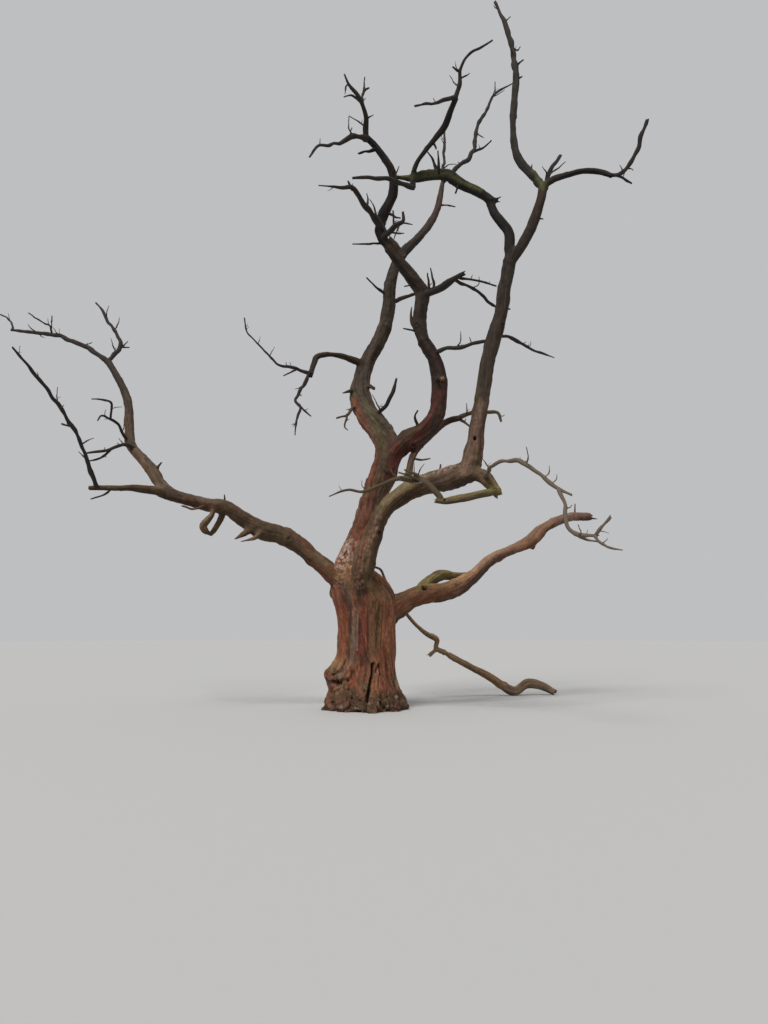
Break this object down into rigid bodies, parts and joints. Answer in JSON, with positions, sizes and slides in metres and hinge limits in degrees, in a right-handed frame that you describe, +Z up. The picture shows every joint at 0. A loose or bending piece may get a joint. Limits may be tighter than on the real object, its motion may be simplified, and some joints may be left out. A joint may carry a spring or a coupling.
{
  "type": "dead tree",
  "caption": "Standing dead tree: short thick trunk with a burl and root flare, crooked bare limbs, a broken limb leaning on it, and sparse twigs.",
  "frame": {"origin": "middle of the flat cut under the trunk, at ground level", "axes": "+Z up; +X to the right of the side the tree is seen from in the picture; +Y away from it"},
  "size_m": [14.4335, 7.6929, 16.0758],
  "materials": {
    "trunk_wood": "bare weathered trunk wood, red brown with grey and olive streaks along the grain",
    "bough_wood": "bare weathered limb wood, pinkish brown to grey brown, fissured along the grain",
    "dark_wood": "dark weathered upper limb wood with a dull olive bloom on top",
    "mossy_wood": "weathered wood under yellow green lichen",
    "fallen_wood": "grey brown barkless wood of the broken limb",
    "twigs": "thin dead twigs, near black brown, rough"
  },
  "bodies": {
    "root": {"trunk": "trunk_wood", "main_stem": "trunk_wood", "front_bough": "bough_wood", "left_arm": "bough_wood", "right_arm": "bough_wood", "back_stem": "trunk_wood", "inner_stem": "bough_wood", "inner_stem_upper": "bough_wood", "inner_stem_top": "dark_wood", "back_stem_upper": "bough_wood", "tall_bough": "bough_wood", "right_fork": "bough_wood", "arching_bough": "dark_wood", "arching_bough_end": "dark_wood", "dark_riser": "dark_wood", "top_leader": "dark_wood", "right_branch": "dark_wood", "left_riser": "bough_wood", "left_spar": "bough_wood", "back_limb": "bough_wood", "right_knuckle": "bough_wood", "elbow_stub": "bough_wood", "hooked_spar": "mossy_wood", "hook_branch": "bough_wood", "leaning_limb": "fallen_wood", "fallen_butt": "fallen_wood", "twigs_left_tip": "twigs", "twigs_left_fork": "twigs", "twigs_left_bend": "twigs", "twigs_left_knee": "twigs", "twigs_left_spar": "twigs", "twigs_hook_left": "twigs", "twigs_hook_down": "twigs", "twigs_stem_left": "twigs", "twigs_stem_right": "twigs", "twigs_inner_top": "twigs", "twigs_inner_reach": "twigs", "twigs_inner_left": "twigs", "twigs_inner_right": "twigs", "twigs_mid_upper": "twigs", "twigs_mid_lower": "twigs", "twigs_back_top": "twigs", "twigs_back_reach": "twigs", "twigs_riser_top": "twigs", "twigs_riser_left": "twigs", "twigs_leader_top": "twigs", "twigs_right_tip": "twigs", "twigs_right_spike": "twigs", "twigs_back_limb": "twigs", "twigs_front": "twigs", "twigs_arch": "twigs"}
  },
  "joints": []
}
